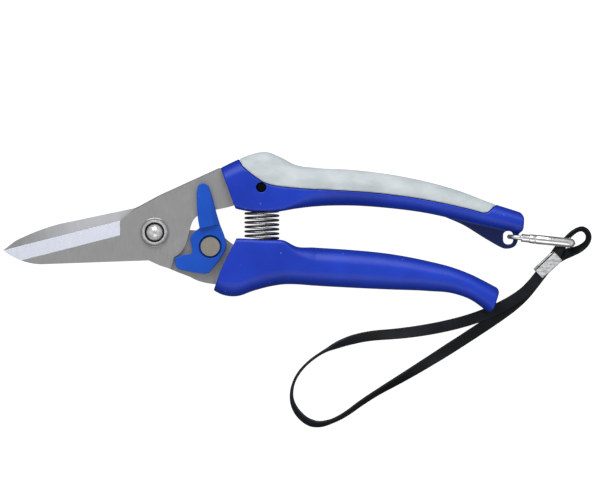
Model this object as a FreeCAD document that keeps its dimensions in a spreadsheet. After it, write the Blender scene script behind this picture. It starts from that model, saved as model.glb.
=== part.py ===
"""Hand pruning shears with a thumb latch, a snap hook and a flat wrist strap.

The shears lie flat, closed and locked. Every outline is drawn about the pivot: +X towards the
handles, +Y towards the upper grip and +Z up from the ground. Each finished piece is then placed so
that the origin is under the middle of the shears. Lengths are in millimetres.
"""
import FreeCAD, Part
import math
import os
from FreeCAD import Placement, Rotation, Vector

doc = FreeCAD.newDocument("pruning_shears")

SIZES = {
    # where the pivot stands in the finished frame
    "pivot_x": -51.775,
    "pivot_y": -0.3,
    # the two steel plates lie on each side of the middle height
    "mid_z": 8.25,
    "plate_thick": 2.2,
    "plate_gap": 0.05,
    "edge_thick": 0.3,
    # pivot bolt, collar, washer and nut
    "bolt_r": 2.5,
    "run_clear": 0.05,
    "collar_foot_r": 5.6,
    "collar_foot": 0.5,
    "collar_rim_r": 4.75,
    "collar_bore_r": 3.85,
    "collar_rim": 1.9,
    "collar_edge": 0.3,
    "dome_r": 3.1,
    "dome_tall": 2.9,
    "dome_cap_r": 3.4,
    "dome_shoulder_r": 1.3,
    "bolt_end": 0.8,
    "pivot_washer_r": 5.2,
    "pivot_washer": 0.6,
    "nut_flats": 8.0,
    "nut_tall": 3.2,
    "through": 20.0,
    # thumb latch on its rivet
    "rivet_x": 21.4,
    "rivet_y": -5.5,
    "rivet_r": 2.0,
    "rivet_head_r": 3.65,
    "rivet_head": 1.2,
    "rivet_head_rise": 0.35,
    "rivet_end": 1.4,
    "rivet_spring": 0.3,
    "burr_r": 3.7,
    "burr_thick": 1.0,
    "latch_low": 8.32,
    "latch_high": 12.2,
    "recess_r": 4.36,
    "recess_deep": 1.5,
    "arm_low": 10.8,
    "arm_high": 13.8,
    # return spring, its axis along Y
    "spring_x": 41.2,
    "spring_low": -5.4,
    "spring_high": 10.6,
    "spring_mean_r": 6.1,
    "spring_wire_r": 0.55,
    "spring_turns": 10.0,
    "seat_r": 7.1,
    # grips
    "grip_corner": 6.2,
    "seat_corner": 1.5,
    "skin": 2.0,
    "peg_hole_x": 41.0,
    "peg_hole_y": 17.2,
    "peg_hole_r": 1.85,
    "peg_hole_floor": 11.5,
    "fin_thick": 4.8,
    # snap hook: a ring of wire standing on edge through the eye
    "eye_x": 136.85,
    "eye_y": -1.7,
    "hook_yaw": -5.9,
    "hook_droop": 6.5,
    "wire_r": 0.85,
    "ring_long": 24.4,
    "ring_tall": 9.9,
    "ring_near_r": 2.4,
    "ring_far_r": 4.0,
    "gate_r": 1.7,
    "gate_bore_r": 1.05,
    "gate_start": 6.6,
    "gate_end": 19.8,
    "gate_pin_u": 22.3,
    "gate_pin_r": 0.5,
    # strap and its crimp
    "strap_wide": 4.4,
    "strap_thick": 1.1,
    "crimp_x": 151.65,
    "crimp_y": -12.45,
    "crimp_turn": 43.4,
    "crimp_long": 10.3,
    "crimp_wide": 5.4,
    "crimp_tall": 3.3,
    "crimp_wall": 0.45,
}


def make_sheet():
    """Write every driving dimension to the sheet, with its name beside it."""
    dims = doc.addObject("Spreadsheet::Sheet", "dims")
    for row, (alias, value) in enumerate(SIZES.items(), start=1):
        dims.set(f"A{row}", alias)
        dims.set(f"B{row}", str(value))
        dims.setAlias(f"B{row}", alias)
    doc.recompute()
    return dims


sheet = make_sheet()
subparts = []


def size(alias):
    """The value of one cell of the sheet."""
    return float(getattr(sheet, alias))


def bind(item, **formulas):
    """Bind properties to formulas of the sheet; __ in a name stands for a dot."""
    for name, formula in formulas.items():
        item.setExpression(name.replace("__", "."), formula)


def finish_piece(item, label, placement=None):
    """Name a finished piece and move it from the pivot to the common frame."""
    item.Label = label
    if placement is None:
        bind(item, Placement__Base__x="dims.pivot_x", Placement__Base__y="dims.pivot_y")
    else:
        to_frame = Placement(Vector(size("pivot_x"), size("pivot_y"), 0), Rotation())
        item.Placement = to_frame.multiply(placement)
    subparts.append(item)
    return item


# ---------------------------------------------------------------- drawing helpers

def lines(*points):
    """Straight edges from point to point."""
    places = [Vector(*point) for point in points]
    return [Part.LineSegment(a, b) for a, b in zip(places, places[1:])]


def curve(*points):
    """One smooth edge through the points."""
    smooth = Part.BSplineCurve()
    smooth.interpolate([Vector(*point) for point in points])
    return [smooth]


def new_body(name):
    return doc.addObject("PartDesign::Body", name)


def origin_plane(body, role):
    return next(item for item in body.Origin.OriginFeatures if item.Role == role)


def new_sketch(body, name, edges, role="XY_Plane", height=None):
    """A sketch on one of the body's own planes, lifted along its normal by a formula."""
    sketch = body.newObject("Sketcher::SketchObject", name)
    sketch.AttachmentSupport = [(origin_plane(body, role), "")]
    sketch.MapMode = "FlatFace"
    sketch.addGeometry(edges, False)
    if height is not None:
        bind(sketch, AttachmentOffset__Base__z=height)
    return sketch


def pad(body, name, edges, low, thick, role="XY_Plane"):
    """A plate of the outline, from height low and thick tall, both formulas of the sheet."""
    sketch = new_sketch(body, name + "_outline", edges, role, low)
    plate = body.newObject("PartDesign::Pad", name)
    plate.Profile = sketch
    bind(plate, Length=thick)
    return plate


def cylinder(name, radius, low, tall, x="0", y="0"):
    """An upright cylinder whose sizes and place are formulas of the sheet."""
    post = doc.addObject("Part::Cylinder", name)
    bind(post, Radius=radius, Height=tall)
    bind(post, Placement__Base__x=x, Placement__Base__y=y, Placement__Base__z=low)
    return post


def cut(name, base, *tools):
    """The base with each tool taken away in turn."""
    result = base
    for number, tool in enumerate(tools, start=1):
        step = doc.addObject("Part::Cut", name if number == len(tools) else f"{name}_cut{number}")
        step.Base = result
        step.Tool = tool
        result = step
    return result


def fuse(name, *items):
    joined = doc.addObject("Part::MultiFuse", name)
    joined.Shapes = list(items)
    joined.Refine = True
    return joined


def solid_piece(name, shape):
    """A piece whose shape is worked out with Part's own functions."""
    piece = doc.addObject("Part::Feature", name)
    piece.Shape = shape
    return piece


# ---------------------------------------------------------------- blades

FRONT_LOW = "dims.mid_z + dims.plate_gap / 2"
BACK_LOW = "dims.mid_z - dims.plate_gap / 2 - dims.plate_thick"

EDGE_END = (-13.3, 4.6)       # where the ground edge of the front blade stops, near the pivot
EDGE_TIP = (-58.4, -6.9)
BEVEL_WIDE = 5.7              # width of the ground bevel, along Y


def front_blade_outline():
    """Lower jaw, pivot boss, end face for the latch, scalloped throat and upper tang."""
    return (
        curve(EDGE_TIP, (-55.7, -8.8), (-51.1, -10.9), (-46.6, -12.05), (-42.5, -12.25))
        + lines((-42.5, -12.25), (-2.3, -10.8), (2.0, -12.8), (6.2, -14.1), (7.4, -9.6))
        + curve((7.4, -9.6), (11.3, -5.8), (13.3, 0.2), (14.9, 4.8), (23.5, 8.7), (30.5, 10.4))
        + curve((30.5, 10.4), (45.0, 13.4), (60.0, 14.6), (72.0, 15.2))
        + curve((72.0, 15.2), (74.0, 17.2), (72.0, 19.2))
        + curve((72.0, 19.2), (60.0, 20.4), (48.0, 22.2), (34.0, 24.6))
        + lines((34.0, 24.6), (24.6, 24.7), (2.0, 14.4), (-7.3, 9.4), EDGE_END, EDGE_TIP)
    )


def back_blade_outline():
    """Upper jaw, boss behind the front blade, latch table and lower tang."""
    return (
        curve(EDGE_TIP, (-56.2, -5.2), (-54.0, -3.5), (-50.9, -1.9), (-44.2, 0.9), (-36.5, 3.3))
        + lines((-36.5, 3.3), (-8.0, 9.3))
        + curve((-8.0, 9.3), (1.0, 9.8), (8.5, 5.6), (13.5, 0.9))
        + lines((13.5, 0.9), (18.0, 0.7), (27.0, -2.2), (30.0, -4.6), (34.0, -7.6))
        + curve((34.0, -7.6), (45.0, -9.4), (60.0, -10.4), (72.0, -11.2))
        + curve((72.0, -11.2), (73.8, -13.2), (72.0, -15.2))
        + curve((72.0, -15.2), (60.0, -15.9), (45.0, -17.0), (34.0, -19.4), (27.0, -20.4))
        + curve((27.0, -20.4), (22.3, -19.9), (18.4, -19.2), (13.7, -17.2))
        + lines((13.7, -17.2), (8.4, -15.2), (0.0, -11.6), (-4.5, -9.0), (-11.0, -1.6))
        + lines((-11.0, -1.6), (-36.5, -4.8), (-56.0, -8.2), EDGE_TIP)
    )


def bevel_wedge(name, root, along, sign, flat_z):
    """A prism that grinds a bevel: root is where the bevel starts, on the plate's face at flat_z."""
    fall = size("plate_thick") - size("edge_thick")
    over = 1.25
    section = [
        Vector(root[0], root[1], flat_z),
        Vector(root[0], root[1] + sign * BEVEL_WIDE * over, flat_z - sign * fall * over),
        Vector(root[0], root[1] + sign * BEVEL_WIDE * over, flat_z + sign * 2),
        Vector(root[0], root[1], flat_z + sign * 2),
    ]
    profile = solid_piece(name + "_section", Part.Face(Part.makePolygon(section + section[:1])))
    wedge = doc.addObject("Part::Extrusion", name)
    wedge.Base = profile
    wedge.DirMode = "Custom"
    wedge.Dir = Vector(*along)
    wedge.LengthFwd = 60
    wedge.Solid = True
    return wedge


def soften_spine(plate, ends, width):
    """Break the upper edge of the plate's straight spine between two points."""
    found = []
    for number, edge in enumerate(plate.Shape.Edges, start=1):
        box = edge.BoundBox
        on_top = box.ZLength < 1e-6 and abs(box.ZMax - plate.Shape.BoundBox.ZMax) < 1e-6
        if on_top and edge.Length > 8 and ends[0] - 0.1 < box.XMin and box.XMax < ends[1] + 0.1:
            if box.YMin > EDGE_END[1] - 0.1:
                found.append((number, width, width))
    chamfer = doc.addObject("Part::Chamfer", plate.Name + "_softened")
    chamfer.Base = plate
    chamfer.Edges = found
    return chamfer


def make_blades():
    front = new_body("front_blade_blank")
    pad(front, "front_plate", front_blade_outline(), FRONT_LOW, "dims.plate_thick")
    back = new_body("back_blade_blank")
    pad(back, "back_plate", back_blade_outline(), BACK_LOW, "dims.plate_thick")
    doc.recompute()

    slope = (EDGE_END[0] - EDGE_TIP[0], EDGE_END[1] - EDGE_TIP[1])
    front_face = front.Shape.BoundBox.ZMax
    back_face = back.Shape.BoundBox.ZMin
    front_root = (EDGE_END[0], EDGE_END[1] - BEVEL_WIDE)
    front_bevel = bevel_wedge("front_bevel", front_root, (-slope[0], -slope[1], 0), 1, front_face)
    back_bevel = bevel_wedge("back_bevel", (-13.3, 2.6), (-42.7, -6.4, 0), -1, back_face)

    bolt_bore = cylinder("front_bolt_bore", "dims.bolt_r", "0", "dims.through")
    swing_bore = cylinder("back_bolt_bore", "dims.bolt_r + dims.run_clear", "0", "dims.through")
    at_rivet = ("dims.rivet_x", "dims.rivet_y")
    rivet_bore = cylinder("back_rivet_bore", "dims.rivet_r", "0", "dims.through", *at_rivet)
    softened = soften_spine(front, (EDGE_END[0], 24.6), 0.5)
    finish_piece(cut("front_blade_ground", softened, bolt_bore, front_bevel), "front_blade")
    finish_piece(cut("back_blade_ground", back, swing_bore, rivet_bore, back_bevel), "back_blade")
    return front, back


# ---------------------------------------------------------------- pivot

def turned(name, label, profile):
    """A turned piece: its half profile, as (radius, height) points, spun about the pivot axis."""
    body = new_body(name)
    sketch = new_sketch(body, name + "_profile", profile, "XZ_Plane")
    spin = body.newObject("PartDesign::Revolution", name + "_turned")
    spin.Profile = sketch
    spin.ReferenceAxis = (sketch, ["V_Axis"])
    spin.Angle = 360
    return finish_piece(body, label)


def dome_edges(foot):
    """Half profile of the bolt's head: an upright side, a round shoulder and a shallow cap."""
    side_r, cap_r, shoulder_r = size("dome_r"), size("dome_cap_r"), size("dome_shoulder_r")
    crown = foot + size("dome_tall")
    cap_middle = Vector(0, crown - cap_r, 0)
    across = side_r - shoulder_r
    rise = math.sqrt((cap_r - shoulder_r) ** 2 - across ** 2)
    shoulder_middle = cap_middle + Vector(across, rise, 0)
    lean = math.atan2(rise, across)

    def on_shoulder(angle):
        return shoulder_middle + Vector(math.cos(angle), math.sin(angle), 0) * shoulder_r

    def on_cap(angle):
        return cap_middle + Vector(math.cos(angle), math.sin(angle), 0) * cap_r

    shoulder = Part.Arc(on_shoulder(0), on_shoulder(lean / 2), on_shoulder(lean))
    cap = Part.Arc(on_cap(lean), on_cap((lean + math.pi / 2) / 2), Vector(0, crown, 0))
    side = lines((side_r, foot), (side_r, shoulder_middle.y))
    return side + [shoulder, cap]


def make_pivot():
    """Domed bolt through a collar and both plates, with a washer and a nut underneath."""
    top = size("mid_z") + size("plate_gap") / 2 + size("plate_thick")
    under = size("mid_z") - size("plate_gap") / 2 - size("plate_thick")
    seat = top + size("collar_foot")
    washer_high = under - size("run_clear")
    washer_low = washer_high - size("pivot_washer")
    nut_low = washer_low - size("nut_tall")
    bolt_low = nut_low - size("bolt_end")
    shank = size("bolt_r")
    stem = lines((0, bolt_low), (shank, bolt_low), (shank, seat), (size("dome_r"), seat))
    axis = lines((0, seat + size("dome_tall")), (0, bolt_low))
    turned("pivot_bolt_body", "pivot_bolt", stem + dome_edges(seat) + axis)

    foot_r, rim_r, bore_r = size("collar_foot_r"), size("collar_rim_r"), size("collar_bore_r")
    rim_top = seat + size("collar_rim")
    edge = size("collar_edge")
    turned("pivot_collar_body", "pivot_collar", lines(
        (shank, top), (foot_r, top), (foot_r, seat - edge / 2), (foot_r - edge, seat), (rim_r, seat),
        (rim_r, rim_top - edge), (rim_r - edge, rim_top), (bore_r + edge, rim_top), (bore_r, rim_top - edge),
        (bore_r, seat), (shank, seat), (shank, top)))
    washer_r = size("pivot_washer_r")
    turned("pivot_washer_body", "pivot_washer", lines(
        (shank, washer_low), (washer_r - edge, washer_low), (washer_r, washer_low + edge),
        (washer_r, washer_high), (shank, washer_high), (shank, washer_low)))

    nut = doc.addObject("Part::Prism", "pivot_nut_blank")
    nut.Polygon = 6
    bind(nut, Circumradius="dims.nut_flats / sqrt(3)", Height="dims.nut_tall")
    nut.Placement.Base.z = nut_low
    nut_bore = cylinder("pivot_nut_bore", "dims.bolt_r", "0", "dims.through")
    crown_cone = doc.addObject("Part::Cone", "pivot_nut_bevel")
    crown_cone.Radius1 = size("nut_flats") / 2
    crown_cone.Radius2 = size("nut_flats") / 2 + size("nut_tall") * math.tan(math.radians(60))
    crown_cone.Height = size("nut_tall")
    crown_cone.Placement.Base.z = nut_low
    bevelled = doc.addObject("Part::Common", "pivot_nut_bevelled")
    bevelled.Base = nut
    bevelled.Tool = crown_cone
    finish_piece(cut("pivot_nut_drilled", bevelled, nut_bore), "pivot_nut")


# ---------------------------------------------------------------- latch

def latch_plate_outline():
    """Round boss about the rivet, with a toe that stands against the end of the front blade."""
    return (
        lines((23.9, 4.0), (17.0, 1.5))
        + curve((17.0, 1.5), (14.9, -0.3), (13.6, -2.5), (14.05, -4.3))
        + lines((14.05, -4.3), (14.5, -7.2), (14.2, -8.3), (10.8, -8.7), (7.9, -9.9), (7.75, -10.8))
        + curve((7.75, -10.8), (8.0, -12.5), (8.9, -13.8), (10.8, -14.6))
        + lines((10.8, -14.6), (16.7, -15.7), (19.4, -15.9))
        + curve((19.4, -15.9), (20.6, -15.7), (21.3, -15.0))
        + lines((21.3, -15.0), (24.7, -11.0), (27.0, -7.2))
        + curve((27.0, -7.2), (27.6, -5.2), (27.0, -1.9), (25.2, 2.8))
        + lines((25.2, 2.8), (23.9, 4.0))
    )


def latch_arm_outline():
    """Thumb arm, raised above the front blade."""
    return (
        lines((25.2, 2.8), (21.0, 2.2), (17.4, 1.3))
        + curve((17.4, 1.3), (16.7, 5.1), (16.3, 10.5), (16.2, 15.5))
        + curve((16.2, 15.5), (16.9, 18.0), (18.9, 18.8), (20.8, 17.8))
        + lines((20.8, 17.8), (22.6, 12.2), (23.8, 7.5), (25.2, 2.8))
    )


def make_latch():
    boss = new_body("latch_boss")
    pad(boss, "latch_plate", latch_plate_outline(), "dims.latch_low", "dims.latch_high - dims.latch_low")
    arm = new_body("latch_arm")
    pad(arm, "latch_arm_plate", latch_arm_outline(), "dims.arm_low", "dims.arm_high - dims.arm_low")
    blank = fuse("latch_blank", boss, arm)
    at_rivet = ("dims.rivet_x", "dims.rivet_y")
    bore = cylinder("latch_bore", "dims.rivet_r + dims.run_clear", "0", "dims.through", *at_rivet)
    recess = cylinder("latch_recess", "dims.recess_r", "dims.latch_high - dims.recess_deep", "5", *at_rivet)
    finish_piece(cut("latch_drilled", blank, bore, recess), "latch_lever")

    head_low = "dims.latch_high - dims.recess_deep + dims.rivet_head_rise"
    head = cylinder("rivet_head", "dims.rivet_head_r", head_low, "dims.rivet_head", *at_rivet)
    rivet_foot = f"{BACK_LOW} - dims.rivet_end"
    rivet_long = f"{head_low} - ({rivet_foot}) + 0.1"
    shank = cylinder("rivet_shank", "dims.rivet_r", rivet_foot, rivet_long, *at_rivet)
    finish_piece(fuse("rivet", head, shank), "latch_rivet")

    ring_low = "dims.latch_high - dims.recess_deep + dims.rivet_head_rise - dims.rivet_spring - 0.02"
    ring = cylinder("rivet_spring_disc", "dims.rivet_head_r - 0.2", ring_low, "dims.rivet_spring", *at_rivet)
    ring_bore = cylinder("rivet_spring_bore", "dims.rivet_r + dims.run_clear", "0", "dims.through", *at_rivet)
    finish_piece(cut("rivet_spring_ring", ring, ring_bore), "latch_spring_washer")

    burr_low = f"{BACK_LOW} - dims.burr_thick"
    burr = cylinder("rivet_burr", "dims.burr_r", burr_low, "dims.burr_thick", *at_rivet)
    burr_bore = cylinder("rivet_burr_bore", "dims.rivet_r", "0", "dims.through", *at_rivet)
    finish_piece(cut("rivet_burr_ring", burr, burr_bore), "latch_rivet_burr")


# ---------------------------------------------------------------- grips

# Stations along X. Each holds the lower and upper edge of the grip there, seen from above.
UPPER_STATIONS = (
    (21.0, 10.2, 22.4), (27.0, 10.2, 25.6), (32.5, 8.8, 28.2), (37.5, 7.9, 30.1), (43.0, 7.7, 30.9),
    (48.0, 8.1, 29.1), (54.0, 9.1, 26.0), (61.0, 9.9, 24.9), (75.0, 10.3, 24.1), (90.0, 9.3, 22.4),
    (105.0, 7.3, 19.4), (118.0, 4.4, 15.7), (130.0, 1.9, 11.1), (136.0, 0.6, 9.4),
    (139.6, 0.1, 7.9), (141.2, 0.5, 7.1), (142.1, 2.0, 6.2),
)
LOWER_STATIONS = (
    (20.0, -20.6, -2.3), (26.0, -24.0, -2.3), (31.5, -24.6, -2.3), (38.0, -22.5, -2.5),
    (44.0, -20.9, -2.8), (50.0, -20.0, -3.2), (54.0, -20.0, -5.3), (61.0, -20.5, -5.8),
    (75.0, -21.3, -6.7), (90.0, -22.0, -8.2), (105.0, -22.6, -11.0), (115.0, -23.6, -13.6),
    (122.0, -26.2, -16.3), (127.0, -29.9, -18.6), (129.3, -30.2, -20.0), (130.6, -28.6, -20.8),
    (131.6, -25.9, -21.7), (132.1, -24.4, -22.7),
)
# Underside and top of both grips, which thin towards the tail.
DEPTH_STATIONS = ((0.0, -0.3, 16.5), (56.0, -0.3, 16.5), (70.0, 1.75, 16.1), (90.0, 2.35, 15.2),
                  (112.0, 2.95, 14.2), (142.1, 3.0, 13.6))


def depth_at(x):
    """Underside and top of a grip at x, straight between its stations."""
    for (x0, low0, high0), (x1, low1, high1) in zip(DEPTH_STATIONS, DEPTH_STATIONS[1:]):
        if x <= x1:
            part = (x - x0) / (x1 - x0)
            return low0 + part * (low1 - low0), high0 + part * (high1 - high0)
    return DEPTH_STATIONS[-1][1:]


def inner_corner(x):
    """Corner radius on the side that faces the spring: nearly square by its seat, then full."""
    part = min(max((x - 50.0) / 12.0, 0.0), 1.0)
    return size("seat_corner") + part * (size("grip_corner") - size("seat_corner"))


def rounded_box_edges(low, high, low_corner, high_corner):
    """Eight edges of a box with rounded corners, its radii at its low and high side given apart."""
    (a0, b0), (a1, b1) = low, high
    edges = []
    corners = ((a1, b0, -90), (a1, b1, 0), (a0, b1, 90), (a0, b0, 180))
    for a, b, start in corners:
        corner = low_corner if a == a0 else high_corner
        middle = Vector(a + (corner if a == a0 else -corner), b + (corner if b == b0 else -corner), 0)
        ring = Part.Circle(middle, Vector(0, 0, 1), corner)
        edges.append(Part.ArcOfCircle(ring, math.radians(start), math.radians(start + 90)))
    joined = []
    for arc, following in zip(edges, edges[1:] + edges[:1]):
        joined.append(arc)
        joined.append(Part.LineSegment(arc.EndPoint, following.StartPoint))
    return joined


def grip_loft(name, stations, seat_is_low, inset=0.0):
    """A rounded bar through the stations; inset leaves room for a soft skin above and around."""
    body = new_body(name)
    sketches = []
    for number, (x, edge_low, edge_high) in enumerate(stations):
        under, over = depth_at(x)
        low = (edge_low, under + inset)
        high = (edge_high - inset, over - inset)
        full = min(size("grip_corner"), 0.47 * (high[0] - low[0]), 0.47 * (high[1] - low[1]))
        seat = min(inner_corner(x), full)
        edges = rounded_box_edges(low, high, seat if seat_is_low else full, full if seat_is_low else seat)
        sketches.append(new_sketch(body, f"{name}_station{number}", edges, "YZ_Plane", f"{x}"))
    loft = body.newObject("PartDesign::AdditiveLoft", name + "_loft")
    loft.Profile = sketches[0]
    loft.Sections = sketches[1:]
    loft.Ruled = True
    return body


def prism(name, points, low, tall):
    """An upright prism of a straight-sided outline."""
    body = new_body(name)
    pad(body, name + "_pad", lines(*points, points[0]), f"{low}", f"{tall}")
    return body


def insert_region():
    """Everything above the wavy lower border of the soft insert."""
    body = new_body("insert_region")
    border = (
        lines((32.6, 40.0), (32.6, 28.6), (33.8, 25.4))
        + curve((33.8, 25.4), (38.9, 21.3), (44.4, 18.4), (55.9, 16.9), (71.3, 16.1), (86.7, 15.0),
                (104.0, 12.6), (121.3, 9.3), (128.4, 7.6))
        + lines((128.4, 7.6), (130.7, 10.6), (138.0, 40.0), (32.6, 40.0))
    )
    pad(body, "insert_region_pad", border, "-5", "30")
    return body


def spring_seat(name, low, tall):
    """A round socket for the end of the return spring, its axis along Y."""
    seat = doc.addObject("Part::Cylinder", name)
    bind(seat, Radius="dims.seat_r", Height=tall)
    seat.Placement.Rotation = Rotation(Vector(1, 0, 0), -90)
    bind(seat, Placement__Base__x="dims.spring_x", Placement__Base__y=low, Placement__Base__z="dims.mid_z")
    return seat


def eye_fin():
    """Thin fin under the tail of the upper grip, with the slot for the snap hook."""
    fin = new_body("eye_fin")
    outline = (
        lines((139.0, 3.0), (112.0, 8.0), (112.0, 5.8))
        + curve((112.0, 5.8), (119.0, 2.7), (127.1, -2.3), (133.1, -5.7))
        + curve((133.1, -5.7), (135.9, -6.3), (138.6, -5.3), (139.7, -3.0))
        + lines((139.7, -3.0), (140.0, 0.6), (139.0, 3.0))
    )
    fin_low = "dims.mid_z - dims.fin_thick / 2"
    pad(fin, "eye_fin_pad", outline, fin_low, "dims.fin_thick")
    slot = new_body("eye_slot")
    slot_edges = rounded_box_edges((134.0, -4.6), (138.0, 0.5), 1.6, 1.6)
    pad(slot, "eye_slot_pad", slot_edges, "0", "dims.through")
    return fin, slot


def make_grips(front_blank, back_blank):
    ground = prism("ground_trim", ((10.0, -60.0), (160.0, -60.0), (160.0, 60.0), (10.0, 60.0)), -5, 5)
    upper = grip_loft("upper_grip_bar", UPPER_STATIONS, True)
    lower = grip_loft("lower_grip_bar", LOWER_STATIONS, False)
    core = grip_loft("upper_grip_core", UPPER_STATIONS, True, inset=size("skin"))
    fin, slot = eye_fin()
    upper_front = prism("upper_front_trim", ((0.0, 0.0), (34.4, 0.0), (22.0, 34.0), (0.0, 34.0)), -5, 30)
    lower_front = prism("lower_front_trim", ((0.0, -40.0), (16.0, -40.0), (22.8, -21.9), (25.7, -14.1),
                                             (27.8, -9.5), (30.6, -4.2), (32.6, 0.0), (0.0, 0.0)), -5, 30)

    region = insert_region()
    trimmed = cut("upper_grip_trimmed", upper, upper_front, ground)
    skin = cut("upper_grip_skin", trimmed, core)
    insert = doc.addObject("Part::Common", "insert_moulding")
    insert.Base = skin
    insert.Tool = region
    finish_piece(insert, "upper_grip_insert")

    high_seat = spring_seat("upper_seat", "5", "dims.spring_high - 5")
    low_seat = spring_seat("lower_seat", "dims.spring_low", "5")
    peg_hole = cylinder("peg_hole", "dims.peg_hole_r", "dims.peg_hole_floor", "10",
                        "dims.peg_hole_x", "dims.peg_hole_y")
    with_fin = fuse("upper_grip_with_fin", trimmed, fin)
    finish_piece(cut("upper_grip_moulding", with_fin, insert_tool(skin, region), front_blank, slot, high_seat,
                     peg_hole), "upper_grip")
    finish_piece(cut("lower_grip_moulding", lower, lower_front, ground, back_blank, low_seat), "lower_grip")


def insert_tool(skin, region):
    """The same solid as the soft insert, left at the pivot to hollow the grip under it."""
    tool = doc.addObject("Part::Common", "insert_room")
    tool.Base = skin
    tool.Tool = region
    return tool


def make_return_spring():
    """Compression spring between the grips, its coils about an axis along Y."""
    tall = size("spring_high") - size("spring_low") - 2 * size("spring_wire_r")
    helix = Part.makeHelix(tall / size("spring_turns"), tall, size("spring_mean_r"))
    wire_middle = Vector(size("spring_mean_r"), 0, 0)
    section = Part.Wire(Part.makeCircle(size("spring_wire_r"), wire_middle, Vector(0, 1, 0)))
    coil = Part.Wire(helix).makePipeShell([section], True, True)
    foot = Vector(size("spring_x"), size("spring_low") + size("spring_wire_r"), size("mid_z"))
    finish_piece(solid_piece("return_spring_coil", coil), "return_spring",
                 Placement(foot, Rotation(Vector(1, 0, 0), -90)))


# ---------------------------------------------------------------- snap hook

def hook_placement():
    """From the ring's own plane, u along the hook and w up, to where it hangs in the eye."""
    place = Placement(Vector(size("eye_x"), size("eye_y"), size("mid_z")), Rotation())
    yaw = Placement(Vector(), Rotation(Vector(0, 0, 1), size("hook_yaw")))
    droop = Placement(Vector(), Rotation(Vector(0, 1, 0), size("hook_droop")))
    return place.multiply(yaw).multiply(droop)


def corner_arc(centre_u, centre_w, radius, start, middle, end):
    """An arc in the ring's plane, its angles from the u axis towards w."""
    places = []
    for angle in (start, middle, end):
        turn = math.radians(angle)
        places.append(Vector(centre_u + radius * math.cos(turn), 0, centre_w + radius * math.sin(turn)))
    return Part.Arc(*places).toShape()


def straight(u0, w0, u1, w1):
    return Part.makeLine(Vector(u0, 0, w0), Vector(u1, 0, w1))


def round_bar(radius, start, end, offset_w):
    """A bar along u at height offset_w, from start to end."""
    return Part.makeCylinder(radius, end - start, Vector(start, 0, offset_w), Vector(1, 0, 0))


def make_hook():
    half = size("ring_tall") / 2
    near, far, long = size("ring_near_r"), size("ring_far_r"), size("ring_long")
    wire_r, gate_r, gate_bore = size("wire_r"), size("gate_r"), size("gate_bore_r")
    gate_start, gate_end = size("gate_start"), size("gate_end")
    place = hook_placement()

    nose_end = gate_start - 0.3
    path = Part.Wire([
        straight(nose_end - 0.4, half, near, half),
        corner_arc(near, half - near, near, 90, 135, 180),
        straight(0, half - near, 0, near - half),
        corner_arc(near, near - half, near, 180, 225, 270),
        straight(near, -half, long - far, -half),
        corner_arc(long - far, far - half, far, 270, 315, 360),
        straight(long, far - half, long, half - far),
        corner_arc(long - far, half - far, far, 0, 45, 90),
    ])
    section = Part.Wire(Part.makeCircle(wire_r, Vector(nose_end - 0.4, 0, half), Vector(1, 0, 0)))
    ring = path.makePipeShell([section], True, False)
    nose = round_bar(gate_r * 0.9, near + 1.2, nose_end, half)
    pin_u = size("gate_pin_u")
    pin_w = half - far + math.sqrt(far ** 2 - (pin_u - long + far) ** 2)
    pin_r = size("gate_pin_r")
    pin_hole = Part.makeCylinder(pin_r, 10, Vector(pin_u, -5, pin_w), Vector(0, 1, 0))
    hook = ring.fuse(nose).cut(pin_hole).removeSplitter()
    finish_piece(solid_piece("hook_ring", hook), "hook_body", place)

    cheek_in, cheek_out = wire_r + 0.25, gate_r
    sleeve = round_bar(gate_r, gate_start, gate_end, half)
    sleeve = sleeve.cut(round_bar(gate_bore, gate_start + 0.6, 40, half))
    for side in (-1, 1):
        low_v = cheek_in if side > 0 else -cheek_out
        plate = Part.makeBox(pin_u - gate_end + 1.6, cheek_out - cheek_in, 2.4,
                             Vector(gate_end - 0.6, low_v, pin_w - 1.1))
        rounder = Part.makeCylinder(2.0, 10, Vector(pin_u - 0.6, -5, pin_w), Vector(0, 1, 0))
        run_up = Part.makeBox(pin_u - gate_end, 10, 4, Vector(gate_end - 0.6, -5, pin_w - 2))
        sleeve = sleeve.fuse(plate.common(rounder.fuse(run_up)))
    running_hole = Part.makeCylinder(pin_r + size("run_clear"), 10, Vector(pin_u, -5, pin_w), Vector(0, 1, 0))
    finish_piece(solid_piece("hook_gate_sleeve", sleeve.cut(running_hole)), "hook_gate", place)

    pin = Part.makeCylinder(pin_r, 2 * gate_r + 0.5, Vector(pin_u, -gate_r - 0.25, pin_w), Vector(0, 1, 0))
    finish_piece(solid_piece("hook_gate_rivet", pin), "hook_gate_pin", place)
    spring_end = gate_end - 1.6
    coil = round_bar(gate_bore - 0.1, gate_start + 0.6, spring_end, half)
    coil = coil.cut(round_bar(gate_bore - 0.5, gate_start, spring_end + 1, half))
    finish_piece(solid_piece("hook_gate_coil", coil), "hook_gate_spring", place)
    plunger = round_bar(gate_bore - 0.15, spring_end, gate_end + 0.2, half)
    finish_piece(solid_piece("hook_gate_rod", plunger), "hook_gate_plunger", place)


# ---------------------------------------------------------------- strap

# Control points of the wrist loop, lying flat: out of the crimp, round and back over itself.
WRIST_ROUTE = (
    (151.65, -12.45, 1.08), (142.4, -21.2, 1.05), (131.5, -31.2, 0.6), (115.5, -43.8, 0.6),
    (97.5, -55.0, 0.6), (82.0, -63.5, 0.6), (70.5, -72.8, 0.6), (59.0, -73.4, 0.6),
    (52.0, -65.5, 0.6), (53.4, -55.8, 0.6), (62.5, -46.8, 0.6), (78.0, -40.2, 0.6),
    (97.0, -39.0, 0.6), (114.0, -36.0, 1.75), (127.5, -31.9, 1.78), (142.4, -21.2, 2.22),
    (151.65, -12.45, 2.3),
)
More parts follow.
